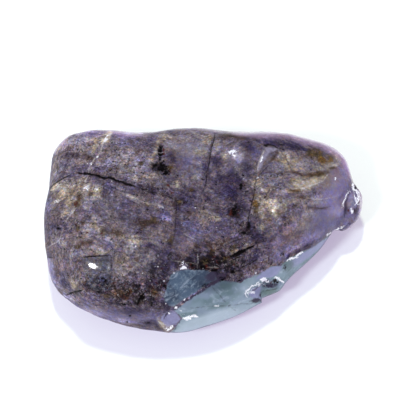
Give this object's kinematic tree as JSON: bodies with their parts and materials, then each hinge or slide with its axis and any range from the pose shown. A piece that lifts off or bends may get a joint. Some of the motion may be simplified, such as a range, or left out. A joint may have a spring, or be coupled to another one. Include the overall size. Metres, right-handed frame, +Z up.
{
  "type": "raw emerald",
  "caption": "Tumbled raw emerald: a flat, smooth pebble of dark mica schist with grey-green beryl along one edge and a rough end.",
  "frame": {"origin": "centre of the bounding box, on the resting face", "axes": "+X along the length, towards the narrow end; +Y across, towards the nearly straight back edge; +Z up, out of the polished crown"},
  "size_m": [0.0384, 0.0258, 0.0129],
  "materials": {
    "emerald_in_schist": "tumble-polished, glossy with fine pits, dull and sparkling where it is broken"
  },
  "bodies": {
    "root": {"emerald_stone": "emerald_in_schist"}
  },
  "joints": []
}
